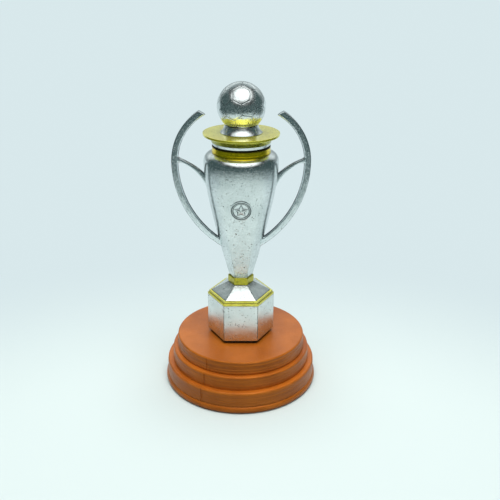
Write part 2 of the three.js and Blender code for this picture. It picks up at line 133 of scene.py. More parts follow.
PLINTH_FOOT = {"inset": 1.4, "shadow": 1.5}
PLINTH_WALL = 2.4
# The trim step's last value is the strength of shade painted into the crease of the step.
TRIM_STEP = {"inset": 0.75, "height": 1.1, "wear_and_shade": 0.9}
PLINTH_CORNER_WEAR = 0.2
# The roof's corners show wearing; its top has shade painted on, darker under the collar and cup.
ROOF_WEAR_AND_SHADE = {"corner": 0.18, "top_shade": 0.6}
FOOT_SQUASH = {"height": 0.25, "depth": 0.07}
ROOF_TOP_RADIUS = 6.2

CUP_FOOT_HALF_WIDTH = 6.05
CUP_SHOULDER_DROP = 4.7
CUP_BELLY_PULL = 18.3
SHOULDER_CORNER_RISE = 2.6
SHOULDER_NECK_BEND = {"inset": 1.25, "drop": 0.5}
CUP_WALL = 2.0
CUP_CORNER_WEAR = {"width": 0.2, "strength": 0.3, "fade_from": 62, "fade_to": 90}
CUP_FLOOR = 70.0
CUP_CEILING_DROP = 2.4
CUP_ROUND_FROM = 108.0
NECK_BORE = 13.0
NECK_LIP = {"radius": 13.2, "rise": 0.3}
MOUTH_RADIUS = 11.6
SPIGOT_RADIUS = 12.7

HANDLE_BAR = 1.7
BAR_SECTION = {"outer": 0.38, "shoulder": 0.2, "ridge": 0.3, "rise": 0.34}
# Painted shade: dark lines along the handle bars' outer edges, their inner ridge and the struts' tops.
BAR_EDGE_SHADE = 0.9
RIDGE_SHADE = 1.6
STRUT_TOP_SHADE = 1.2
STRUT_ROOT = -0.035
STRUT_SECTION = {"sides": 36, "power": 4.5}
HANDLE_WIDEST_Z = 117.7
HANDLE_LOWER_ARC = 49.85
HANDLE_UPPER_ARC = 27.9
HANDLE_ROOT_TURN = math.radians(58.5)
HANDLE_TIP_TURN = math.radians(66)
TIP_FACE = {"x": 18.0, "z": 141.35, "slope": math.radians(31.5)}
TIP_BEVEL = 0.25
STRUT_HALF_THICKNESS = 1.1
STRUT_TOP_ARC = {"x": 43.0, "z": 85.2, "radius": 36.9, "start": 108, "end": 140}
STRUT_UNDER_ARC = {"x": 38.0, "z": 96.7, "radius": 22.7, "start": 107, "end": 166}
STRUT_FILLET = {"height": 0.75, "reach": 1.8}
SUNK = 0.6
# Painted shadow: strength of the dark colour painted into gaps between parts.
PAINTED_GAP_SHADOW = 2.5
UNEVEN = ((2.6, 0.05), (1.1, 0.03))
BALL_UNEVEN = ((3.4, 0.16), (1.1, 0.05))

LID_RING_BAND = 1.4
LID_COVE_RADIUS = 11.2
LID_BOSS_RADIUS = 9.0
PLUG_POCKET = {"radius": 4.0, "depth": 3.0}
CRADLE_RIM_RADIUS = 8.1
CRADLE_HOLE = 5.0
CRADLE_RIM_WIDTH = 0.6
BALL_GROOVE = {"depth": 0.07, "width": 0.14}
# Painted shade: dark lines along the ball's grooves.
GROOVE_SHADE = {"strength": 0.8, "width": 0.17}
PANEL_CROWN = {"height": 0.005, "reach": 1.5}
BALL_PANEL_TILT = math.radians(38.6)

ROD_PITCH = 0.7
STUD_PITCH = 0.5
SCREW_PITCH = 0.4
THREAD_DEPTH = 0.55


# ---- Outlines and lofts


def rounded(corners, steps=5):
    """A closed outline through (radius, height, rounding) corners, with each corner rounded off."""
    outline = []
    flat = np.array([corner[:2] for corner in corners], float)
    for index, (*_, rounding) in enumerate(corners):
        before, here, after = flat[index - 1], flat[index], flat[(index + 1) % len(corners)]
        if not rounding:
            outline.append(here)
            continue
        back = (before - here) / np.linalg.norm(before - here)
        ahead = (after - here) / np.linalg.norm(after - here)
        half = math.acos(np.clip(back @ ahead, -1, 1)) / 2
        middle = (back + ahead) / np.linalg.norm(back + ahead)
        centre = here + middle * rounding / math.sin(half)
        start = here + back * rounding / math.tan(half) - centre
        end = here + ahead * rounding / math.tan(half) - centre
        sweep = math.pi - 2 * half
        for share in np.linspace(0, 1, steps + 1):
            mixed = math.sin((1 - share) * sweep) * start + math.sin(share * sweep) * end
            outline.append(centre + mixed / math.sin(sweep))
    return np.array(outline)


def ring(inner, outer, low, high, roundings, steps=5):
    """A rectangular ring's outline, with roundings from the inner lower corner outwards and round."""
    corners = (inner, low), (outer, low), (outer, high), (inner, high)
    return rounded([(*corner, size) for corner, size in zip(corners, roundings)], steps)


def divided(outline, longest, closed=True):
    """The same outline with its long stretches cut into equal lengths."""
    outline = np.asarray(outline, float)
    nexts = np.roll(outline, -1, axis=0) if closed else outline[1:]
    rows = []
    for here, after in zip(outline, nexts):
        parts = max(1, math.ceil(np.linalg.norm((after - here)[:2]) / longest))
        rows += [here + (after - here) * part / parts for part in range(parts)]
    return np.array(rows if closed else rows + [outline[-1]])


def bezier(*corners, steps):
    """Points along a curve with three or four control points."""
    t = np.linspace(0, 1, steps + 1)[:, None]
    last = len(corners) - 1
    weights = [math.comb(last, i) * (1 - t) ** (last - i) * t**i for i in range(last + 1)]
    return sum(weight * np.array(corner, float) for weight, corner in zip(weights, corners))


def smoothstep(value, low, high):
    share = np.clip((np.asarray(value, float) - low) / (high - low), 0, 1)
    return share * share * (3 - 2 * share)


def even_angles(count):
    return np.linspace(0, 2 * math.pi, count, endpoint=False)


def finer_near(angles, centre, step, steps):
    """Angles with extra ones closely spaced about a centre."""
    near = centre + np.arange(-steps, steps + 1) * step
    return np.unique(np.round(np.concatenate([angles, near]) % (2 * math.pi), 6))


def hexagon_angles():
    """Angles round a hexagon with corners on X, closest together at the corners."""
    offsets = np.radians([0, 0.25, 0.5, 0.8, 1.2, 1.8, 3, 6, 10, 15, 20, 25, 30])
    sector = np.concatenate([offsets, math.radians(60) - offsets[-2:0:-1]])
    return np.concatenate([sector + math.radians(60 * side) for side in range(6)])


def hexagon_share(angles, sharpness):
    """Share of the corner radius that a hexagon with softened corners reaches at each angle."""
    faces = np.radians(30 + 60 * np.arange(6))
    towards = np.maximum(np.cos(np.subtract.outer(angles, faces)), 0)
    return math.cos(math.pi / 6) / (towards**sharpness).sum(-1) ** (1 / sharpness)


def about_z(radius, angles, height):
    """Points from radii, angles and heights, any of which may be one number or a grid."""
    radius, angles, height = np.broadcast_arrays(radius, angles, height)
    return np.stack([radius * np.cos(angles), radius * np.sin(angles), height], -1)


def loft(outline, angles, sharpness=None):
    """Points about Z, a row for each (radius, height) or (radius, height, roundness) of the outline."""
    outline = np.asarray(outline, float)
    roundness = outline[:, 2:3] if outline.shape[1] > 2 else np.ones((len(outline), 1))
    share = hexagon_share(angles, sharpness) if sharpness else np.ones(len(angles))
    return about_z(outline[:, :1] * (share + (1 - share) * roundness), angles, outline[:, 1:2])


# ---- Making pieces


def surface(points, closed_rows):
    """Vertices and quads over a grid of points whose columns close on themselves."""
    rows, columns = points.shape[:2]
    index = np.arange(rows * columns).reshape(rows, columns)
    if closed_rows:
        index = np.vstack([index, index[:1]])
    index = np.hstack([index, index[:, :1]])
    quads = np.stack([index[:-1, :-1], index[:-1, 1:], index[1:, 1:], index[1:, :-1]], -1)
    return points.reshape(-1, 3), quads.reshape(-1, 4)


def ripple(mesh, size, depth):
    """Sink the surface by smooth random amounts up to depth, over lengths of about size."""
    points = np.empty(len(mesh.vertices) * 3)
    normals = np.empty(len(mesh.vertices) * 3)
    mesh.vertices.foreach_get("co", points)
    mesh.vertices.foreach_get("normal", normals)
    grid = points.reshape(-1, 3) / (size * MM)
    amounts = np.array([noise.noise(place) for place in grid])
    points -= (normals.reshape(-1, 3) * (amounts[:, None] + 1) / 2 * depth * MM).ravel()
    mesh.vertices.foreach_set("co", points)
    mesh.update()


def piece(
    node, points, material,
    closed_rows=True, crease=38, wear_and_shade=0.0, ripples=(), inner=None, inner_material=None,
):
    """A fine mesh that stands for a CAD node.

    Wear and shade is 1 where the finish wears through or breaks and where shade is painted on, and more
    where a gap's shadow is painted. Ripples are (size, depth) pairs. Faces that inner marks take the inner
    material.
    """
    vertices, quads = surface(points, closed_rows)
    mesh = bpy.data.meshes.new(f"{node}_fine")
    mesh.from_pydata((vertices * MM).tolist(), [], quads.tolist())
    worn_and_shaded = np.broadcast_to(wear_and_shade, points.shape[:2]).astype(np.float32)
    mesh.attributes.new("wear_and_shade", "FLOAT", "POINT").data.foreach_set("value", worn_and_shaded.ravel())
    mesh.materials.append(material)
    if inner is not None:
        mesh.materials.append(inner_material)
        mesh.polygons.foreach_set("material_index", inner.astype(np.int32).ravel())
    work = bmesh.new()
    work.from_mesh(mesh)
    bmesh.ops.remove_doubles(work, verts=work.verts, dist=1e-7)
    bmesh.ops.recalc_face_normals(work, faces=work.faces)
    work.to_mesh(mesh)
    work.free()
    for size, depth in ripples:
        ripple(mesh, size, depth)
    mesh.shade_smooth()
    mesh.set_sharp_from_angle(angle=math.radians(crease))
    made = bpy.data.objects.new(f"{node}_fine", mesh)
    bpy.context.collection.objects.link(made)
    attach(made, frame["nodes"][node]["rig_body"])
    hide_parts(node)
    return made


# ---- Materials


def add(tree, kind, links=None, inputs=None, **settings):
    """A new node. Links maps its inputs to sockets, and inputs maps them to values."""
    made = tree.nodes.new(kind)
    for name, value in settings.items():
        setattr(made, name, value)
    for name, value in (inputs or {}).items():
        made.inputs[name].default_value = value
    for name, socket in (links or {}).items():
        tree.links.new(socket, made.inputs[name])
    return made


def mix_colours(tree, factor, a, b):
    """Two colours mixed by a factor. Each is a tuple or a socket."""
    made = add(tree, "ShaderNodeMix", {0: factor}, data_type="RGBA")
    for socket, value in ((made.inputs[6], a), (made.inputs[7], b)):
        if isinstance(value, tuple):
            socket.default_value = (*value, 1)
        else:
            tree.links.new(value, socket)
    return made.outputs[2]


class Shader:
    """A material with one Principled shader, and short calls that add nodes to it."""

    def __init__(self, name, **settings):
        self.material = bpy.data.materials.new(name)
        self.material.use_nodes = True
        self.tree = self.material.node_tree
        self.surface = self.tree.nodes["Principled BSDF"]
        for socket, value in settings.items():
            self.surface.inputs[socket.replace("_", " ")].default_value = value
        coordinates = self.tree.nodes.new("ShaderNodeTexCoord")
        self.place = coordinates.outputs["Object"]
        self.facing = coordinates.outputs["Normal"]

    def node(self, kind, links=None, inputs=None, **settings):
        return add(self.tree, kind, links, inputs, **settings)

    def scaled(self, x, y, z):
        """The place on the object with each axis stretched."""
        links = {"Vector": self.place}
        return self.node("ShaderNodeMapping", links, {"Scale": (x, y, z)}).outputs[0]

    def noise(self, size, detail=3.0, roughness=0.5, place=None):
        """Cloudy noise whose features are about size millimetres across."""
        inputs = {"Scale": 1 / (size * MM), "Detail": detail, "Roughness": roughness}
        links = {"Vector": place or self.place}
        return self.node("ShaderNodeTexNoise", links, inputs).outputs["Fac"]

    def cells(self, size, **settings):
        """Distance to the nearest of scattered points about size millimetres apart."""
        inputs = {"Scale": 1 / (size * MM)}
        return self.node("ShaderNodeTexVoronoi", {"Vector": self.place}, inputs, **settings).outputs[0]

    def ramp(self, factor, *stops):
        made = self.node("ShaderNodeValToRGB", {"Fac": factor})
        elements = made.color_ramp.elements
        while len(elements) < len(stops):
            elements.new(0.5)
        for element, (position, colour) in zip(elements, stops):
            element.position = position
            element.color = (*colour, 1)
        return made.outputs["Color"]

    def spread(self, factor, low, high, start=0.0, end=1.0):
        """The factor between start and end, spread from low to high."""
        inputs = {"From Min": start, "From Max": end, "To Min": low, "To Max": high}
        return self.node("ShaderNodeMapRange", {"Value": factor}, inputs).outputs[0]

    def math(self, operation, a, b):
        made = self.node("ShaderNodeMath", operation=operation)
        for socket, value in zip(made.inputs, (a, b)):
            if isinstance(value, (int, float)):
                socket.default_value = value
            else:
                self.tree.links.new(value, socket)
        return made.outputs[0]

    def blend(self, a, share_a, b, share_b):
        """A weighted sum."""
        weighted = self.math("MULTIPLY", a, share_a), self.math("MULTIPLY", b, share_b)
        return self.math("ADD", *weighted)

    def mixed(self, factor, a, b):
        return mix_colours(self.tree, factor, a, b)

    def bump(self, height, depth, normal=None):
        """A bump of the given depth in millimetres, on top of an earlier one."""
        links = {"Height": height}
        if normal:
            links["Normal"] = normal
        return self.node("ShaderNodeBump", links, {"Strength": 1.0, "Distance": depth * MM}).outputs[0]

    def connect(self, **sockets):
        for name, socket in sockets.items():
            self.tree.links.new(socket, self.surface.inputs[name.replace("_", " ")])
        return self.material


def lacquer(name, dark, light, pit_and_shade, roughness, drawn, metallic=1.0, coat=0.0, relief=1.0):
    """A bright lacquer over a printed part: slight waves, fine grain, scattered pits, wearing at the edges
    and painted shade.

    Drawn is how far the printed layers below stretch a reflection upright. Relief deepens the grain.
    """
    shader = Shader(name, Metallic=metallic, IOR=1.5, Anisotropic=drawn, Anisotropic_Rotation=0.25)
    shader.surface.inputs["Coat Weight"].default_value = coat
    shader.surface.inputs["Coat Roughness"].default_value = 0.08
    shader.surface.inputs["Coat IOR"].default_value = 1.55
    around = shader.node("ShaderNodeTangent", direction_type="RADIAL", axis="Z").outputs[0]
    clouds = shader.noise(9.0, detail=4.0)
    grain = shader.noise(0.9, detail=6.0, roughness=0.75)
    patches = shader.spread(shader.noise(3.2, detail=4.0, roughness=0.7), 0, 1, start=0.485, end=0.60)
    pits = shader.math("MULTIPLY", shader.spread(shader.cells(0.85), 1, 0, start=0.16, end=0.36), patches)
    # Painted shade and wearing both come from a mesh attribute, and turn the colour dark like the pits.
    worn_and_shaded = shader.node("ShaderNodeAttribute", attribute_name="wear_and_shade").outputs["Fac"]
    broken = shader.spread(shader.noise(0.9, detail=3.0), 0.35, 1, start=0.38, end=0.56)
    flaws_and_shade = shader.math("MAXIMUM", pits, shader.math("MULTIPLY", worn_and_shaded, broken))
    tone = shader.blend(clouds, 0.35, grain, 0.65)
    colour = shader.mixed(flaws_and_shade, shader.ramp(tone, (0.36, dark), (0.62, light)), pit_and_shade)
    low, high = roughness
    duller = shader.math("MULTIPLY", flaws_and_shade, 0.2)
    rough = shader.math("ADD", shader.spread(grain, low, high, 0.35, 0.7), duller)
    normal = shader.bump(shader.noise(3.5, detail=1.0), 0.018)
    normal = shader.bump(grain, 0.030 * relief, normal)
    normal = shader.bump(pits, -0.050 * relief, normal)
    return shader.connect(Base_Color=colour, Roughness=rough, Normal=normal, Tangent=around)


def brown_print():
    """Satin brown plastic laid down in layers: fine lines on the walls, straight passes on top."""
    shader = Shader("brown_plastic", IOR=1.65)
    shader.surface.inputs["Specular Tint"].default_value = (0.7, 0.34, 0.18, 1)
    shader.surface.inputs["Coat Roughness"].default_value = 0.3
    layers = shader.noise(1.0, detail=3.0, roughness=0.6, place=shader.scaled(0.02, 0.02, 1.5))
    clouds = shader.noise(14.0, detail=3.0)
    tone = shader.blend(layers, 0.6, clouds, 0.4)
    colour = shader.ramp(tone, (0.38, (0.36, 0.086, 0.007)), (0.62, (0.56, 0.152, 0.014)))
    # Painted glints: lighter speckles scattered in the brown colour.
    glint_specks = shader.spread(shader.cells(2.6), 1, 0, start=0.03, end=0.06)
    colour = shader.mixed(glint_specks, colour, (0.62, 0.30, 0.15))
    up = shader.node("ShaderNodeSeparateXYZ", {0: shader.facing}).outputs["Z"]
    flat = shader.spread(up, 0, 1, start=0.9, end=0.98)
    passes = shader.noise(1.0, detail=2.0, place=shader.scaled(1.6, 0.06, 0.06))
    wall_lines = shader.noise(1.0, detail=3.0, place=shader.scaled(0.03, 0.03, 1.8))
    height = shader.mixed(flat, wall_lines, passes)
    rough = shader.spread(shader.noise(1.3, detail=4.0), 0.32, 0.46, start=0.3, end=0.7)
    normal = shader.bump(height, 0.16)
    normal = shader.bump(shader.noise(0.35, detail=2.0), 0.006, normal)
    sheen = shader.spread(flat, 0.02, 0.35)
    return shader.connect(Base_Color=colour, Roughness=rough, Coat_Weight=sheen, Normal=normal)


def steel():
    """Bright zinc-plated steel with a fine drawn grain."""
    shader = Shader("steel_hardware", Metallic=1.0)
    clouds = shader.noise(2.5, detail=4.0)
    grain = shader.noise(0.12, detail=3.0, place=shader.scaled(1, 1, 6))
    colour = shader.ramp(clouds, (0.35, (0.42, 0.43, 0.45)), (0.65, (0.60, 0.61, 0.60)))
    rough = shader.spread(grain, 0.22, 0.42, start=0.3, end=0.7)
    return shader.connect(Base_Color=colour, Roughness=rough, Normal=shader.bump(grain, 0.003))


def foam():
    """Dense dark foam rubber with small cells."""
    shader = Shader("pad_foam", IOR=1.45)
    cells = shader.cells(0.5)
    clouds = shader.noise(6.0, detail=4.0)
    colour = shader.ramp(clouds, (0.3, (0.012, 0.012, 0.013)), (0.7, (0.035, 0.034, 0.033)))
    normal = shader.bump(shader.spread(cells, 0, 1, start=0.1, end=0.6), 0.12)
    rough = shader.spread(clouds, 0.82, 0.97, start=0.3, end=0.7)
    return shader.connect(Base_Color=colour, Roughness=rough, Normal=normal)


SILVER = lacquer(
    "silver_lacquer", (0.52, 0.57, 0.57), (0.80, 0.84, 0.84), (0.11, 0.13, 0.13), (0.15, 0.27), drawn=0.5
)
# Painted light: a lighter copy of the silver lacquer for the handles, so they look brighter than the cup.
LIGHTER_BAR = lacquer(
    "silver_bar_painted_lighter", (0.64, 0.71, 0.73), (0.92, 0.97, 0.98), (0.10, 0.12, 0.13), (0.16, 0.28), drawn=0.3
)
BALL = lacquer(
    "silver_ball", (0.54, 0.59, 0.59), (0.88, 0.92, 0.92), (0.08, 0.10, 0.10), (0.18, 0.30),
    drawn=0.2, relief=1.2,
)
PLATE = lacquer(
    "silver_plate", (0.60, 0.64, 0.63), (0.85, 0.88, 0.87), (0.05, 0.055, 0.055), (0.18, 0.28),
    drawn=0.85, relief=0.15,
)
GOLD = lacquer(
    "gold_lacquer", (0.62, 0.50, 0.004), (0.93, 0.90, 0.11), (0.07, 0.055, 0.005), (0.14, 0.24),
    drawn=0.5, metallic=0.6, coat=0.8,
)
DEEP_GOLD = lacquer(
    "gold_deep", (0.82, 0.56, 0.002), (0.98, 0.77, 0.004), (0.07, 0.055, 0.004), (0.14, 0.26),
    drawn=0.5, metallic=0.9, coat=0.15,
)
# Painted shade: a darker copy of the gold lacquer for the stem collar, which sits in shade under the cup.
SHADED_GOLD = lacquer(
    "gold_painted_shade", (0.42, 0.36, 0.010), (0.60, 0.54, 0.03), (0.05, 0.04, 0.004), (0.18, 0.30),
    drawn=0.5, metallic=0.7, coat=0.3,
)
# Painted shade: a dark copy of the silver lacquer for the badge's recessed lines.
RECESS_SHADE = lacquer(
    "silver_recess_shade", (0.10, 0.12, 0.12), (0.20, 0.23, 0.23), (0.04, 0.05, 0.05), (0.40, 0.55), drawn=0.0
)
BROWN = brown_print()
STEEL = steel()
FOAM = foam()


# ---- Base


def base_angles():
    return finer_near(even_angles(COLUMNS["base"]), SEAM_ANGLE, math.radians(0.16), 8)


def layered(points, bottom, top, angles, seed, outward=True):
    """Printed layers on a wall: grooves, uneven layers, and the seam and weld where each one starts."""
    random = np.random.RandomState(seed)
    count = math.ceil((top - bottom) / LAYER) + 1
    uneven = random.uniform(-1, 0, count) * LAYER_SCATTER
    bands = np.arange(0, count + BAND_LAYERS, BAND_LAYERS)
    uneven += np.interp(np.arange(count), bands, random.uniform(-1, 0, len(bands))) * BAND_SCATTER
    wander = random.uniform(-1, 1, count) * SEAM["wander"]
    strength = random.uniform(0.6, 1, count)
    phase = random.uniform(0, 2 * math.pi, count)
    radius = np.hypot(points[..., 0], points[..., 1])
    height = points[..., 2]
    layer = np.clip(((height - bottom) / LAYER + 1e-6).astype(int), 0, count - 1)
    share = (height - bottom) / LAYER - layer
    groove = -LAYER_GROOVE * (1 - np.sin(math.pi * np.clip(share, 0, 1)))
    waves = LAYER_WAVES["depth"] * (np.sin(LAYER_WAVES["count"] * angles + phase[layer]) - 1)
    away = (np.angle(np.exp(1j * (angles - SEAM_ANGLE))) * radius) + wander[layer]
    seam = -SEAM["depth"] * strength[layer] * np.exp(-((away / SEAM["width"]) ** 2))
    beside = np.abs(away) / SEAM["width"] - SEAM["weld_place"]
    weld = SEAM["weld"] * np.exp(-(beside**2)) * outward
    on_wall = (radius > 0.93 * radius.max()) & (height >= bottom - 1e-6)
    change = np.where(on_wall, groove + uneven[layer] + waves + seam + weld, 0)
    scale = 1 + change / np.maximum(radius, 1e-6)
    moved = points.copy()
    moved[..., 0] *= scale
    moved[..., 1] *= scale
    return moved


def make_base():
    angles = base_angles()
    low, high, radius = span("base_pad")
    pad = ring(0, radius, low, high, (0, 0.35, 0.2, 0))
    pad_points = loft(divided(pad, 3.0)[:-1], even_angles(COLUMNS["pad"]))
    piece("base_pad", pad_points, FOAM, closed_rows=False)

    pad_top = high
    low, high, radius = span("base_flange")
    bead = rounded([
        (COUNTERBORE["radius"], pad_top, 0.1),
        (PAD_RECESS, pad_top, 0.15),
        (PAD_RECESS, low, 0.2),
        (radius, low, FLANGE_EDGE),
        (radius, high, FLANGE_EDGE),
        (COUNTERBORE["radius"], high, 0.1),
    ], steps=9)
    points = layered(loft(divided(bead, LAYER), angles), low, high, angles, SEEDS["flange"], outward=False)
    piece("base_flange", points, BROWN)

    for order, name in enumerate(("base_tier_lower", "base_tier_middle", "base_tier_upper")):
        low, high, radius = span(name)
        outside = [(radius, low, 0.12), (radius - TIER_DRAFT, high, TIER_EDGE), (ROD_BORE, high, 0.2)]
        inside = [(ROD_BORE, low, 0.2)]
        if name == "base_tier_lower":
            roof = COUNTERBORE["roof"]
            wide = COUNTERBORE["radius"]
            inside = [(ROD_BORE, roof, 0.2), (wide, roof, 0.1), (wide, low, 0.2)]
        outline = divided(rounded(inside + outside, steps=7), LAYER / 2)
        far = outline[:, 0] > radius - 2
        kept = far | (np.arange(len(outline)) % THINNED == 0)
        corner = np.abs(np.diff(outline[:, 1], append=outline[0, 1])) > 1e-6
        outline = outline[kept | corner | np.roll(corner, 1)]
        points = layered(loft(outline, angles), low, high - TIER_EDGE, angles, SEEDS["tier"] + order)
        piece(name, points, BROWN)


# ---- Plinth


def with_bore(rows):
    """Outline rows as (radius, height, roundness): six-sided outside and round in the bore."""
    return np.array([(radius, height, 1.0 if radius < ROD_BORE + 0.3 else 0.0) for radius, height in rows])


def uneven_foot(points, height, seed):
    """A printed part's first layers, slightly squashed out and ragged."""
    random = np.random.RandomState(seed)
    columns = points.shape[1]
    amounts = random.uniform(-1, 1, columns // 3 + 1)
    ragged = np.interp(np.arange(columns), np.arange(0, columns + 1, 3), amounts)
    near = np.exp(-(((points[..., 2] - height) / FOOT_SQUASH["height"]) ** 2))
    moved = points.copy()
    moved[..., 2] += FOOT_SQUASH["depth"] * near * ragged
    return moved


def corner_wear(points, angles, width, strength=1.0):
    """Wear along the six upright edges of a piece."""
    from_corner = np.abs((angles + math.radians(30)) % math.radians(60) - math.radians(30))
    away = from_corner * np.hypot(points[..., 0], points[..., 1])
    return strength * np.exp(-((away / width) ** 2))


def make_plinth():
    angles = hexagon_angles()
    low, high, radius = span("hex_plinth")
    foot = radius - PLINTH_FOOT["inset"]
    foot_top = low + PLINTH_FOOT["shadow"]
    hollow = radius - PLINTH_WALL / math.cos(math.pi / 6)
    shell = rounded([
        (hollow, low, 0), (foot, low, 0), (foot, foot_top, 0),
        (radius, foot_top, 0.3), (radius, high, 0.12), (hollow, high, 0.1),
    ])
    rows = divided(shell, 1.2)
    rows = np.column_stack([rows, np.zeros(len(rows))])
    points = uneven_foot(loft(rows, angles, SHARPNESS["plinth"]), foot_top, SEEDS["foot"])
    wear_and_shade = corner_wear(points, angles, PLINTH_CORNER_WEAR)
    # Painted shadow: the recessed foot under the plinth is coloured dark.
    wear_and_shade = np.where(points[..., 2] < foot_top + 0.12, PAINTED_GAP_SHADOW, wear_and_shade)
    piece("hex_plinth", points, PLATE, wear_and_shade=wear_and_shade, ripples=UNEVEN)

    low, high = heights("plinth_trim")
    step = low + TRIM_STEP["height"]
    upper = radius - TRIM_STEP["inset"]
    trim = rounded([
        (ROD_BORE, low, 0), (radius, low, 0.2), (radius, step, 0.3), (upper, step, 0.1),
        (upper, high, 0.3), (ROD_BORE, high, 0),
    ])
    rows = with_bore(divided(trim, 2.5))
    # Painted shade: a dark line in the crease where the trim's two steps meet.
    in_step = (np.abs(rows[:, 1] - step) < 0.15) & (rows[:, 0] > upper - 0.1) & (rows[:, 0] < upper + 0.3)
    wear_and_shade = np.where(in_step, TRIM_STEP["wear_and_shade"], 0)[:, None]
    piece("plinth_trim", loft(rows, angles, SHARPNESS["plinth"]), GOLD, wear_and_shade=wear_and_shade)

    low, high, wide = span("plinth_roof")
    roof = rounded([
        (ROD_BORE, low, 0), (wide, low, 0.12), (ROOF_TOP_RADIUS, high, 0.2), (ROD_BORE, high, 0),
    ])
    points = loft(with_bore(divided(roof, 0.8)), angles, SHARPNESS["roof"])
    # Painted shade: the roof darkens towards the top, under the collar and cup.
    shaded_top = ROOF_WEAR_AND_SHADE["top_shade"] * smoothstep(points[..., 2], (low + high) / 2, high)
    wear_and_shade = np.maximum(corner_wear(points, angles, ROOF_WEAR_AND_SHADE["corner"]), shaded_top)
    piece("plinth_roof", points, PLATE, wear_and_shade=wear_and_shade, ripples=UNEVEN)

    low, high, wide = span("stem_collar")
    collar = ring(ROD_BORE, wide, low, high, (0, 0.35, 0.35, 0))
    points = loft(with_bore(divided(collar, 0.8)), angles, SHARPNESS["collar"])
    # The collar takes the darker copy of the gold, painted shade.
    piece("stem_collar", points, SHADED_GOLD)


# ---- Cup


def cup_outline():
    """Half-width against height: a long flare, then the rounded shoulder up to the neck."""
    low, high, wide = span("cup_body")
    neck = reach("neck_ring")
    foot = (CUP_FOOT_HALF_WIDTH, low)
    shoulder_z = high - CUP_SHOULDER_DROP
    shoulder = (wide, shoulder_z)
    flare = bezier(foot, foot, (wide, shoulder_z - CUP_BELLY_PULL), shoulder, steps=64)
    bend = bezier(
        shoulder,
        (wide, shoulder_z + SHOULDER_CORNER_RISE),
        (wide - SHOULDER_NECK_BEND["inset"], high - SHOULDER_NECK_BEND["drop"]),
        (neck, high),
        steps=22,
    )
    return np.vstack([flare, bend[1:]])


CUP_OUTLINE = cup_outline()


def cup_roundness(height):
    return smoothstep(height, heights("cup_body")[0], CUP_ROUND_FROM)


def cup_radius(angle, height):
    """Distance from the axis to the cup's outside at an angle and a height."""
    half_width = np.interp(height, CUP_OUTLINE[:, 1], CUP_OUTLINE[:, 0])
    share = hexagon_share(angle, SHARPNESS["cup"])
    return half_width * (share + (1 - share) * cup_roundness(height))


def cup_depth(point):
    """How far a point lies inside the cup's outside, measured towards the axis."""
    x, y, z = point
    return float(cup_radius(np.array(math.atan2(y, x)), z)) - math.hypot(x, y)


def make_cup():
    low, high = heights("cup_body")
    ceiling = high - CUP_CEILING_DROP
    outside = CUP_OUTLINE
    inside = outside[(outside[:, 1] > CUP_FLOOR) & (outside[:, 1] < ceiling)][::-1].copy()
    inside_top = np.interp(ceiling, outside[:, 1], outside[:, 0])
    inside_floor = np.interp(CUP_FLOOR, outside[:, 1], outside[:, 0])
    inside = np.vstack([[inside_top, ceiling], inside, [inside_floor, CUP_FLOOR]])
    inside[:, 0] -= CUP_WALL
    rows = [(r, z, cup_roundness(z)) for r, z in outside]
    rows += [(NECK_BORE, high, 1), (NECK_BORE, ceiling, 1)]
    rows += [(r, z, cup_roundness(z)) for r, z in inside]
    rows += [(ROD_BORE, CUP_FLOOR, 1), (ROD_BORE, low, 1)]
    angles = hexagon_angles()
    points = loft(divided(np.array(rows), 1.4), angles, SHARPNESS["cup"])
    worn_and_shaded = CUP_CORNER_WEAR
    fade = 1 - smoothstep(points[..., 2], worn_and_shaded["fade_from"], worn_and_shaded["fade_to"])
    wear_and_shade = corner_wear(points, angles, worn_and_shaded["width"], worn_and_shaded["strength"]) * fade
    piece("cup_body", points, SILVER, wear_and_shade=wear_and_shade, ripples=UNEVEN)

    low, high, neck = span("neck_ring")
    foot = heights("cup_body")[1]
    lip = high - NECK_LIP["rise"]
    outline = rounded([
        (MOUTH_RADIUS, low, 0.1), (SPIGOT_RADIUS, low, 0.15), (SPIGOT_RADIUS, foot, 0),
        (neck, foot, 0.1), (neck, foot + 0.9, 0.08), (neck - 0.14, foot + 1.0, 0.08),
        (neck - 0.14, lip, 0.2), (NECK_LIP["radius"], lip, 0), (NECK_LIP["radius"], high, 0.1),
        (MOUTH_RADIUS, high, 0.15),
    ])
    points = loft(divided(outline, 0.6), even_angles(COLUMNS["neck"]))
    # Painted shadow: the top of the neck ring, under the lid ring, is coloured dark.
    wear_and_shade = np.where(points[..., 2] > lip - 0.25, PAINTED_GAP_SHADOW, 0)
    piece("neck_ring", points, DEEP_GOLD, wear_and_shade=wear_and_shade, ripples=UNEVEN)


# ---- Badge: a round medallion with a faceted star

STAR = {"tip": 3.15, "notch": 1.35, "points": 5}
BADGE_RING = {"inner": 3.95, "outer": 4.3}
BADGE_LINE = 0.36
BADGE_HEIGHTS = {"field": 0.16, "edge": 0.38, "apex": 0.72, "rim": 0.48}


def star_outline(angles):
    """Radius of a star with straight edges and a point straight up."""
    sector = math.pi / STAR["points"]
    turn = np.abs(np.angle(np.exp(1j * STAR["points"] * (angles - math.pi / 2)))) / STAR["points"]
    notch = np.array([math.cos(sector), math.sin(sector)]) * STAR["notch"]
    across = STAR["tip"] * notch[1]
    return across / (notch[1] * np.cos(turn) - (notch[0] - STAR["tip"]) * np.sin(turn))


def on_cup_front(across, up, lift):
    """Points on the cup's front at a place on the badge, lifted off the surface."""
    middle = sum(heights("front_badge")) / 2

    def touch(across, up):
        height = middle + up
        radius = cup_radius(np.full(across.shape, FRONT), height)
        for _ in range(4):
            radius = cup_radius(np.arctan2(-np.sqrt(radius**2 - across**2), across), height)
        return np.stack([across, -np.sqrt(radius**2 - across**2), height], -1)

    nudge = 0.02
    along = touch(across + nudge, up) - touch(across - nudge, up)
    above = touch(across, up + nudge) - touch(across, up - nudge)
    normal = np.cross(along, above)
    normal /= np.linalg.norm(normal, axis=-1, keepdims=True)
    return touch(across, up) + normal * lift[..., None]


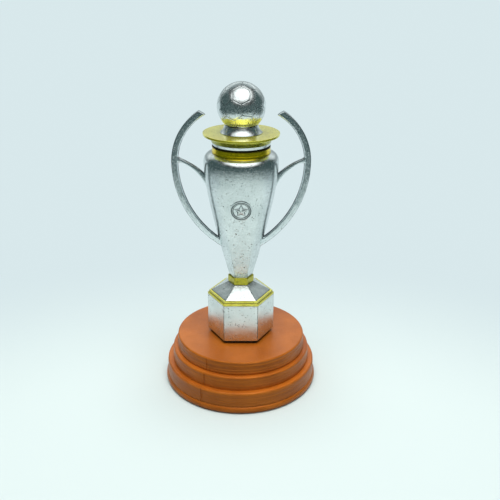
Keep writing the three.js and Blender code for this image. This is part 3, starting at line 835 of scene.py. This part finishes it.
def make_badge():
    angles = even_angles(COLUMNS["badge"])
    radius = reach("front_badge")
    star = star_outline(angles)
    flat = np.ones_like(angles)
    field, edge, apex, rim = (BADGE_HEIGHTS[name] for name in ("field", "edge", "apex", "rim"))
    inner, outer = BADGE_RING["inner"], BADGE_RING["outer"]
    shares = np.linspace(0, 0.96, 9)
    rows = [(share * star, edge + (apex - edge) * (1 - share), False) for share in shares]
    line, field_start = BADGE_LINE, star + 0.1 + BADGE_LINE
    rows += [(star, edge - 0.04, True), (star + 0.1, field, True), (field_start, field, True)]
    across = inner - line - field_start
    rows += [(field_start + across * share, field, False) for share in (0.05, 0.5, 0.95)]
    rows += [(flat * (inner - line), field, True), (flat * inner, field, True)]
    rows += [(flat * (inner + 0.08), edge, False), (flat * (outer - 0.08), edge, False)]
    rows += [(flat * outer, field, True), (flat * (outer + line), field, True)]
    rows += [(flat * (outer + line + 0.08), rim, False), (flat * (radius - 0.14), rim, False)]
    rows += [(flat * (radius - 0.04), rim - 0.05, False), (flat * radius, rim - 0.16, False)]
    rows += [(flat * radius, 0.0, False), (flat * radius, -0.1, False)]
    rows += [(flat * radius * share, -0.1, False) for share in (0.75, 0.5, 0.25, 0)]
    spread = np.array([row[0] for row in rows])
    lift = np.array([row[1] * flat for row in rows])
    points = on_cup_front(spread * np.cos(angles), spread * np.sin(angles), lift)
    pairs = zip(rows, rows[1:])
    marked = np.array([[row[2] and following[2]] * len(angles) for row, following in pairs])
    # Painted shade: the badge's recessed lines take the dark lacquer.
    piece("front_badge", points, SILVER, closed_rows=False, crease=24,
          inner=marked, inner_material=RECESS_SHADE)


# ---- Handles


def bar_section():
    """Unit points round a handle's section: square outside, with a low ridge along the inner side."""
    outer, shoulder, ridge = (BAR_SECTION[name] for name in ("outer", "shoulder", "ridge"))
    start = -1 + BAR_SECTION["rise"]
    corners = [(start, -1, shoulder), (1, -1, outer), (1, 1, outer), (start, 1, shoulder), (-1, 0, ridge)]
    return divided(rounded(corners, steps=7), 0.3).T


def strut_section():
    """Unit points round a strut's section, which is between a circle and a square."""
    angles = even_angles(STRUT_SECTION["sides"])
    c, s = np.cos(angles), np.sin(angles)
    share = 2 / STRUT_SECTION["power"]
    return np.sign(c) * np.abs(c) ** share, np.sign(s) * np.abs(s) ** share


def with_ends(points):
    """The same rows with both ends closed on their middle points."""
    count = points.shape[1]
    start, end = points[:1].mean(1, keepdims=True), points[-1:].mean(1, keepdims=True)
    first, last = (points[:1] + start) / 2, (points[-1:] + end) / 2
    return np.vstack([start.repeat(count, 1), first, points, last, end.repeat(count, 1)])


def solve(measure, low, high):
    """The place between low and high where a measure that falls or rises crosses zero."""
    rising = measure(high) > measure(low)
    for _ in range(40):
        middle = (low + high) / 2
        if (measure(middle) > 0) == rising:
            high = middle
        else:
            low = middle
    return (low + high) / 2


def handle_point(along, outward, across):
    """A point on a handle, by length from its widest place and by offsets from the centre line."""
    arc = HANDLE_LOWER_ARC if along < 0 else HANDLE_UPPER_ARC
    angle = along / arc
    widest = reach("right_handle") - HANDLE_BAR
    x = widest - arc * (1 - math.cos(angle)) + outward * math.cos(angle)
    z = HANDLE_WIDEST_Z + arc * math.sin(angle) + outward * math.sin(angle)
    return np.array([x, across, z])


def above_tip(point):
    """Height of a point above the sloping face that ends a handle."""
    slope = TIP_FACE["slope"]
    return -(point[0] - TIP_FACE["x"]) * math.sin(slope) + (point[2] - TIP_FACE["z"]) * math.cos(slope)


def handle_points():
    """One handle from inside the cup's wall to its bevelled tip, each fibre cut where it should end."""
    outward, across = bar_section()
    root, tip = -HANDLE_LOWER_ARC * HANDLE_ROOT_TURN, HANDLE_UPPER_ARC * HANDLE_TIP_TURN
    random = np.random.RandomState(SEEDS["handle"])
    columns = []
    for out, side in zip(outward * HANDLE_BAR, across * HANDLE_BAR):
        start = solve(lambda s: cup_depth(handle_point(s, out, side)) - SUNK, root * 0.6, root * 1.06)
        ends = []
        for turn in np.radians([0, 22.5, 45, 67.5, 90]):
            inset = 1 - TIP_BEVEL / HANDLE_BAR * (1 - math.cos(turn))
            drop = TIP_BEVEL * (1 - math.sin(turn))
            bevel = out * inset, side * inset
            end = solve(lambda s: above_tip(handle_point(s, *bevel)) + drop, tip * 0.6, tip)
            ends.append(handle_point(end, *bevel))
        last = solve(lambda s: above_tip(handle_point(s, out, side)) + TIP_BEVEL, tip * 0.6, tip)
        length = [start + (last - start) * share for share in np.linspace(0, 1, 110)]
        columns.append([handle_point(s, out, side) for s in length[:-1]] + ends)
    points = np.array(columns).transpose(1, 0, 2)
    wobble = random.uniform(-0.012, 0.012, (points.shape[0] - 8, 1, 3))
    points[3:-5] += wobble
    return with_ends(points)


def arc_point(arc, share):
    angle = math.radians(arc["start"] + (arc["end"] - arc["start"]) * share)
    across, up = arc["radius"] * math.cos(angle), arc["radius"] * math.sin(angle)
    return np.array([arc["x"] + across, arc["z"] + up])


def strut_point(share, up, across):
    """A point on a strut: share runs from the handle to the cup, up between its two edges."""
    top, under = arc_point(STRUT_TOP_ARC, share), arc_point(STRUT_UNDER_ARC, share)
    middle, half = (top + under) / 2, (top - under) / 2
    inner_edge = reach("right_handle") - 2 * HANDLE_BAR
    away = np.clip((inner_edge - middle[0]) / STRUT_FILLET["reach"], 0, 1)
    flare = STRUT_FILLET["height"] * (1 - away) ** 2
    half *= 1 + flare / np.linalg.norm(half)
    x, z = middle + half * up
    return np.array([x, across * STRUT_HALF_THICKNESS, z])


def strut_points():
    up, across = strut_section()
    columns = []
    for high, side in zip(up, across):
        end = solve(lambda u: cup_depth(strut_point(u, high, side)) - SUNK, 0.35, 1.03)
        shares = np.linspace(STRUT_ROOT, end, 46)
        columns.append([strut_point(share, high, side) for share in shares])
    return with_ends(np.array(columns).transpose(1, 0, 2))


def make_handles():
    bar, strut = handle_points(), strut_points()
    outward, across = bar_section()
    # Painted shade: dark lines on the bars' outer edges and inner ridge, and along the struts' tops.
    outer_edges = smoothstep(outward * np.abs(across), 0.70, 0.78)
    edges = np.maximum(BAR_EDGE_SHADE * outer_edges, RIDGE_SHADE * smoothstep(-outward, 0.80, 0.90))
    strut_top = STRUT_TOP_SHADE * smoothstep(strut_section()[0], 0.7, 0.95)
    for side, turn in (("right", 1), ("left", -1)):
        half_turn = np.array([turn, turn, 1])
        for node, points, wear_and_shade in (("handle", bar, edges), ("handle_strut", strut, strut_top)):
            piece(f"{side}_{node}", points * half_turn, LIGHTER_BAR,
                  closed_rows=False, crease=50, wear_and_shade=wear_and_shade, ripples=UNEVEN)


# ---- Fasteners


def thread_groove(height, angles, pitch):
    """Depth of a thread at each height and angle."""
    phase = (height / pitch - angles / (2 * math.pi)) % 1
    return THREAD_DEPTH * pitch * np.abs(2 * phase - 1)


def threaded(radius, low, high, pitch):
    """Points of a threaded shank about Z with chamfered ends."""
    angles = even_angles(COLUMNS["thread"])
    height = divided(np.array([[1.0, low], [1.0, high]]), pitch / 6, closed=False)[:, 1:2]
    depth = thread_groove(height, angles, pitch)
    end = np.minimum(height - low, high - height)
    points = about_z(radius - np.maximum(depth, THREAD_DEPTH * pitch - end), angles, height)
    return np.vstack([about_z(0, angles, [[low]]), points, about_z(0, angles, [[high]])])


def nut_points(radius, bore, low, high, pitch):
    """A hexagon nut with chamfered corners and a chamfered bore."""
    angles = hexagon_angles()
    corner = radius * hexagon_share(angles, SHARPNESS["nut"])
    turned = radius * 0.93
    cut = np.maximum(corner - turned, 0) * math.tan(math.radians(30))
    chamfer = 0.4 * pitch
    face = np.minimum(corner, turned)
    half = [(bore, chamfer), (bore + chamfer, 0), (face * 0.9, 0), (face, 0), (corner, cut)]
    rows = [(size, low + rise) for size, rise in half] + [(corner, (low + high) / 2)]
    rows += [(size, high - rise) for size, rise in reversed(half)]
    return np.array([about_z(size, angles, height) for size, height in rows])


def screw_points(side):
    """A pan-head screw with a hexagon socket, from the cup's inside towards a handle."""
    low, high = box(f"{side}_handle_screw")
    head, length = (high[2] - low[2]) / 2, high[0] - low[0]
    middle = (high[2] + low[2]) / 2
    head_height, shank, socket = 1.2, 0.9, 0.75
    angles = hexagon_angles()
    socket_row = hexagon_share(angles, SHARPNESS["socket"]) * socket
    flat = np.ones_like(angles)
    rows = [(flat * 0, 0.75), (socket_row, 0.75), (socket_row, 0.08), (socket_row + 0.08, 0.0)]
    dome = (0.72, 0.0), (0.88, 0.1), (0.97, 0.3), (1, 0.55)
    rows += [(flat * head * size, drop) for size, drop in dome]
    rows += [(flat * head, head_height - 0.1), (flat * (head - 0.1), head_height)]
    rows += [(flat * shank, head_height)]
    for step in np.arange(head_height + 0.2, length - 0.05, SCREW_PITCH / 6):
        rows.append((shank - thread_groove(step, angles, SCREW_PITCH), step))
    rows += [(flat * (shank - 0.35), length), (flat * 0, length)]
    start, turn = (low[0], 1) if side == "right" else (high[0], -1)
    across, up = np.cos(angles) * turn, np.sin(angles)
    return np.array([
        np.stack([start + turn * along * flat, size * across, middle + size * up], -1)
        for size, along in rows
    ])


def washer_points(node, hole):
    low, high, radius = span(node)
    outline = ring(hole, radius, low, high, (0.1, 0.12, 0.18, 0.1))
    return loft(divided(outline, 0.8), even_angles(COLUMNS["washer"]))


def make_fasteners():
    for node, pitch in (("tie_rod", ROD_PITCH), ("finial_stud", STUD_PITCH)):
        points = threaded(reach(node), *heights(node), pitch)
        piece(node, points, STEEL, closed_rows=False)
    nuts = (("rod_nut_lower", ROD_BORE, ROD_PITCH), ("rod_nut_upper", ROD_BORE, ROD_PITCH),
            ("finial_nut", STUD_BORE, STUD_PITCH))
    for node, bore, pitch in nuts:
        piece(node, nut_points(reach(node), bore, *heights(node), pitch), STEEL)
    for node in ("rod_washer_lower", "rod_washer_upper"):
        piece(node, washer_points(node, ROD_BORE), STEEL)
    for side in ("right", "left"):
        piece(f"{side}_handle_screw", screw_points(side), STEEL, closed_rows=False)


# ---- Lid


def make_lid():
    round_lid = even_angles(COLUMNS["lid"])
    low = heights("lid_plug")[0]
    ring_low, under_disc = heights("lid_ring")
    pocket_roof = low + PLUG_POCKET["depth"]
    plug = reach("lid_plug")
    outline = rounded([
        (STUD_BORE, pocket_roof, 0.1), (PLUG_POCKET["radius"], pocket_roof, 0.1),
        (PLUG_POCKET["radius"], low, 0.3), (plug, low, 0.5), (plug, ring_low, 0.1),
        (LID_BOSS_RADIUS, ring_low, 0.1), (LID_BOSS_RADIUS, under_disc, 0.1),
        (STUD_BORE, under_disc, 0.1),
    ])
    piece("lid_plug", loft(divided(outline, 0.9), round_lid), SILVER)

    band = reach("lid_ring")
    band_top = ring_low + LID_RING_BAND + 0.3
    inside = LID_BOSS_RADIUS + CLEARANCE
    cove = bezier((band - 0.4, band_top), (LID_COVE_RADIUS + 0.25, band_top + 0.5),
                  (LID_COVE_RADIUS, under_disc), steps=16)
    edge = rounded([(inside, ring_low, 0), (band - 0.7, ring_low, 0.05), (band - 0.38, ring_low + 0.3, 0.1),
                    (band, band_top, 0.15), (band - 0.4, band_top, 0)], steps=6)
    points = loft(divided(np.vstack([edge, cove, [[inside, under_disc]]]), 0.5), round_lid)
    # Painted shadow: the bottom of the lid ring, over the gap to the neck ring, is coloured dark.
    wear_and_shade = np.where(points[..., 2] < ring_low + 0.3, PAINTED_GAP_SHADOW, 0)
    piece("lid_ring", points, SILVER, wear_and_shade=wear_and_shade, ripples=UNEVEN)

    low, high, disc = span("lid_disc")
    outline = ring(STUD_BORE, disc, low, high, (0.1, 0.3, 0.15, 0.1), steps=7)
    piece("lid_disc", loft(divided(outline, 0.7), even_angles(COLUMNS["disc"])), GOLD)

    low, high = heights("ball_cradle")
    ball = reach("ball_finial")
    centre = heights("ball_finial")[1] - ball
    foot = reach("ball_cradle")

    def under_ball(radius):
        return centre - math.sqrt((ball + 0.1) ** 2 - radius**2)

    waist = bezier((foot, low + 0.25), (CRADLE_RIM_RADIUS + 0.5, low + 0.4 * (high - low)),
                   (CRADLE_RIM_RADIUS, high - 0.25), steps=18)
    lip = [(CRADLE_RIM_RADIUS - 0.08, high - 0.08), (CRADLE_RIM_RADIUS - 0.25, high)]
    seat_radii = np.linspace(CRADLE_RIM_RADIUS - CRADLE_RIM_WIDTH, CRADLE_HOLE, 8)
    seat = [(radius, under_ball(radius)) for radius in seat_radii]
    rows = np.vstack([[(CRADLE_HOLE, low), (foot - 0.12, low), (foot, low + 0.1)], waist, lip, seat])
    piece("ball_cradle", loft(divided(rows, 0.5), round_lid), SILVER, ripples=UNEVEN)

    make_ball(centre, ball, heights("finial_stud")[1] + CLEARANCE)


# A football with edges of length 1: distances from its middle to a corner and to its two kinds of face.
FOOTBALL_CORNER, PENTAGON_PLANE, HEXAGON_PLANE = 2.47802, 2.32744, 2.26728


def panel_planes():
    """Directions and distances of the 32 faces of a football, with a six-sided panel to the front."""
    golden = (1 + math.sqrt(5)) / 2
    corners = []
    for a in (-1, 1):
        for b in (-golden, golden):
            corners += [(0, a, b), (a, b, 0), (b, 0, a)]
    corners = np.array(corners) / math.hypot(1, golden)
    near = corners @ corners.T > 0.4
    centres = []
    for i in range(12):
        for j in range(i):
            for k in range(j):
                if near[i, j] and near[j, k] and near[i, k]:
                    centres.append(corners[i] + corners[j] + corners[k])
    centres = np.array(centres)
    centres /= np.linalg.norm(centres, axis=1, keepdims=True)
    towards = centres[0]
    upright = corners[np.argmax(corners @ towards)]
    upright = upright - (upright @ towards) * towards
    upright /= np.linalg.norm(upright)
    turn = math.radians(30)
    upright = upright * math.cos(turn) + np.cross(towards, upright) * math.sin(turn)
    own = np.array([towards, upright, np.cross(towards, upright)])
    front = np.array([0, -math.cos(BALL_PANEL_TILT), math.sin(BALL_PANEL_TILT)])
    up = np.array([0, math.sin(BALL_PANEL_TILT), math.cos(BALL_PANEL_TILT)])
    placed = np.array([front, up, np.cross(front, up)])
    normals = np.vstack([corners, centres]) @ own.T @ placed
    distances = np.array([PENTAGON_PLANE] * 12 + [HEXAGON_PLANE] * 20) / FOOTBALL_CORNER
    return normals / distances[:, None]


def make_ball(centre, radius, hole_top):
    """The ball: panels with slightly crowned middles and thin grooves between them."""
    start = -math.acos(STUD_BORE / radius)
    rise = np.linspace(start, math.pi / 2, 190)
    sphere = np.column_stack([radius * np.cos(rise), centre + radius * np.sin(rise)])
    sphere[-1, 0] = 0
    rows = np.vstack([[(0, hole_top), (STUD_BORE * 0.6, hole_top), (STUD_BORE, hole_top)], sphere])
    points = loft(rows, even_angles(COLUMNS["ball"]))
    skin = points[3:]
    middle = np.array([0, 0, centre])
    towards = (skin - middle) / radius
    planes = panel_planes()
    values = towards @ planes.T
    order = np.argsort(values, axis=-1)
    first, second = planes[order[..., -1]], planes[order[..., -2]]
    gap = ((first - second) * towards).sum(-1) / np.linalg.norm(first - second, axis=-1)
    away = gap * radius
    groove = -BALL_GROOVE["depth"] * np.exp(-((away / BALL_GROOVE["width"]) ** 2))
    crown = -PANEL_CROWN["height"] * (1 - smoothstep(away, 0, PANEL_CROWN["reach"]))
    points[3:] = middle + towards * (radius + groove + crown)[..., None]
    # Painted shade: the ball's grooves are coloured dark.
    groove_shade = np.zeros(points.shape[:2])
    groove_shade[3:] = GROOVE_SHADE["strength"] * np.exp(-((away / GROOVE_SHADE["width"]) ** 2))
    piece("ball_finial", points, BALL,
          closed_rows=False, crease=60, wear_and_shade=groove_shade, ripples=BALL_UNEVEN)


# ---- Stage: floor, surroundings, lights and camera

PALE = (0.69, 0.81, 0.835)
FLOOR_NEAR = (0.68, 0.755, 0.745)
FLOOR_BOUNCE = 0.65
ROOM_FRONT = (0.062, 0.100, 0.100)
ROOM_BACK = (0.40, 0.46, 0.47)
ROOM_HIGH_BACK = (0.92, 1.0, 1.0)
ROOM_TOP = (0.26, 0.32, 0.33)
FLOOR = {"half": 8.0, "back": -0.2, "fade_from": 0.19, "fade_to": 0.36}
SHADE = {"inner": 0.29, "outer": 6.0, "height": 0.001, "from": 152, "to": 388}
SOFTBOX = {"core": 0.02, "edge": 0.62, "strength": 2.6, "place": (0.03, -0.19, 0.61)}


def stage_material(name):
    made = bpy.data.materials.new(name)
    made.use_nodes = True
    made.node_tree.nodes.clear()
    return made, made.node_tree


def smooth_range(tree, value, start, end, low=0.0, high=1.0):
    """A smooth change from low to high while the value goes from start to end."""
    inputs = {"From Min": start, "From Max": end, "To Min": low, "To Max": high}
    kind = "ShaderNodeMapRange"
    return add(tree, kind, {"Value": value}, inputs, interpolation_type="SMOOTHSTEP").outputs[0]


def fade_by_distance(tree, *limits):
    """A smooth range over the distance from the object's origin."""
    place = add(tree, "ShaderNodeTexCoord").outputs["Object"]
    length = add(tree, "ShaderNodeVectorMath", {0: place}, operation="LENGTH")
    return smooth_range(tree, length.outputs["Value"], *limits)


def plain(tree, kind, colour):
    return add(tree, kind, inputs={"Color": (*colour, 1)}).outputs[0]


def end_tree(tree, shader, kind="Material"):
    tree.links.new(shader, tree.nodes.new(f"ShaderNodeOutput{kind}").inputs["Surface"])


def mix_shaders(tree, factor, first, second):
    mixed = tree.nodes.new("ShaderNodeMixShader")
    for socket, source in zip(mixed.inputs, (factor, first, second)):
        tree.links.new(source, socket)
    return mixed.outputs[0]


def stage_mesh(name, corners, sides, material):
    mesh = bpy.data.meshes.new(name)
    mesh.from_pydata(corners, [], sides)
    mesh.materials.append(material)
    made = bpy.data.objects.new(name, mesh)
    bpy.context.collection.objects.link(made)
    return made


def square(half):
    return [(-half, -half, 0), (half, -half, 0), (half, half, 0), (-half, half, 0)], [(0, 1, 2, 3)]


def aim(made, place, target):
    made.location = place
    made.rotation_mode = "QUATERNION"
    made.rotation_quaternion = (Vector(target) - Vector(place)).to_track_quat("-Z", "Y")


def only_reflected(card):
    card.visible_camera = card.visible_diffuse = card.visible_shadow = False


def make_floor():
    """A pale floor that fades into an even pale surround away from the trophy."""
    material, tree = stage_material("stage_floor")
    fade = fade_by_distance(tree, FLOOR["fade_from"], FLOOR["fade_to"])
    near = plain(tree, "ShaderNodeBsdfDiffuse", FLOOR_NEAR)
    far = plain(tree, "ShaderNodeEmission", PALE)
    black = plain(tree, "ShaderNodeBsdfDiffuse", (0, 0, 0))
    diffuse_ray = add(tree, "ShaderNodeLightPath").outputs["Is Diffuse Ray"]
    bounced = add(tree, "ShaderNodeMapRange", {"Value": diffuse_ray}, {"To Max": 1 - FLOOR_BOUNCE})
    pale = mix_shaders(tree, fade, near, far)
    end_tree(tree, mix_shaders(tree, bounced.outputs[0], pale, black))
    stage_mesh("stage_floor", *square(FLOOR["half"]), material).location = (0, FLOOR["back"], 0)


def make_shade():
    """A dim arc just over the floor, away from the trophy, that only reflections show."""
    material, tree = stage_material("stage_shade")
    end_tree(tree, plain(tree, "ShaderNodeEmission", ROOM_FRONT))
    turns = np.radians(np.linspace(SHADE["from"], SHADE["to"], 41))
    corners = np.vstack([about_z(SHADE[edge], turns, SHADE["height"]) for edge in ("inner", "outer")])
    sides = [(i, i + 1, i + 1 + len(turns), i + len(turns)) for i in range(len(turns) - 1)]
    only_reflected(stage_mesh("stage_shade", corners.tolist(), sides, material))


def make_world():
    """Pale to the camera. The lacquer sees a dim room in front and a pale wall behind."""
    world = bpy.data.worlds.new("studio")
    bpy.context.scene.world = world
    world.use_nodes = True
    tree = world.node_tree
    tree.nodes.clear()
    direction = add(tree, "ShaderNodeTexCoord").outputs["Generated"]
    parts = add(tree, "ShaderNodeSeparateXYZ", {"Vector": direction})

    def share(axis, low, high):
        return smooth_range(tree, parts.outputs[axis], low, high)

    back = mix_colours(tree, share("Z", 0.22, 0.42), ROOM_BACK, ROOM_HIGH_BACK)
    around = mix_colours(tree, share("Y", 0.42, 0.78), ROOM_FRONT, back)
    room = mix_colours(tree, share("Z", 0.50, 0.80), around, ROOM_TOP)
    camera_ray = add(tree, "ShaderNodeLightPath").outputs["Is Camera Ray"]
    colour = mix_colours(tree, camera_ray, room, PALE)
    end_tree(tree, add(tree, "ShaderNodeBackground", {"Color": colour}).outputs[0], "World")


def area_light(name, place, target, size, watts, colour):
    data = bpy.data.lights.new(name, "AREA")
    data.shape = "RECTANGLE"
    data.size, data.size_y = size
    data.energy = watts
    data.color = colour
    made = bpy.data.objects.new(name, data)
    aim(made, place, target)
    made.visible_camera = False
    made.visible_glossy = False
    bpy.context.collection.objects.link(made)


def make_softbox(target):
    """A large soft light that only the lacquer and plastic reflect, brightest in the middle."""
    material, tree = stage_material("stage_softbox")
    core, edge = SOFTBOX["core"], SOFTBOX["edge"]
    fade = fade_by_distance(tree, core, edge, SOFTBOX["strength"], 0.0)
    glow = add(tree, "ShaderNodeEmission", {"Strength": fade}, {"Color": (0.97, 1.0, 0.99, 1)})
    end_tree(tree, glow.outputs[0])
    card = stage_mesh("stage_softbox", *square(edge), material)
    aim(card, SOFTBOX["place"], target)
    only_reflected(card)


def make_lights():
    middle = (0.0, 0.0, 0.12)
    make_softbox(middle)
    area_light("key_light", (0.03, -0.13, 0.62), middle, (0.50, 0.48), 1.9, (1.0, 1.0, 0.98))
    area_light("top_light", (0.0, 0.02, 0.9), (0.0, 0.02, 0.0), (0.6, 0.6), 5.6, (1.0, 1.0, 0.99))


CAMERA_PLACE = (0.0, -0.32948, 0.21202)
CAMERA_PITCH = 0.4028
CAMERA_YAW = 0.0139
CAMERA_ROLL = -0.0085
CAMERA_LENS = 50.806


def make_camera():
    data = bpy.data.cameras.new("camera")
    data.lens = CAMERA_LENS
    data.sensor_width = 36
    data.clip_start = 0.01
    made = bpy.data.objects.new("camera", data)
    forward = Vector((
        math.sin(CAMERA_YAW) * math.cos(CAMERA_PITCH),
        math.cos(CAMERA_YAW) * math.cos(CAMERA_PITCH),
        -math.sin(CAMERA_PITCH),
    ))
    level = Vector((math.cos(CAMERA_YAW), -math.sin(CAMERA_YAW), 0))
    upright = level.cross(forward)
    right = level * math.cos(CAMERA_ROLL) - upright * math.sin(CAMERA_ROLL)
    up = level * math.sin(CAMERA_ROLL) + upright * math.cos(CAMERA_ROLL)
    turn = Matrix((right, up, -forward)).transposed()
    made.matrix_world = Matrix.Translation(CAMERA_PLACE) @ turn.to_4x4()
    bpy.context.collection.objects.link(made)
    bpy.context.scene.camera = made


make_camera()
make_world()
make_floor()
make_shade()
make_lights()
bpy.context.scene.view_settings.view_transform = "Standard"

make_base()
make_plinth()
make_cup()
make_badge()
make_handles()
make_fasteners()
make_lid()
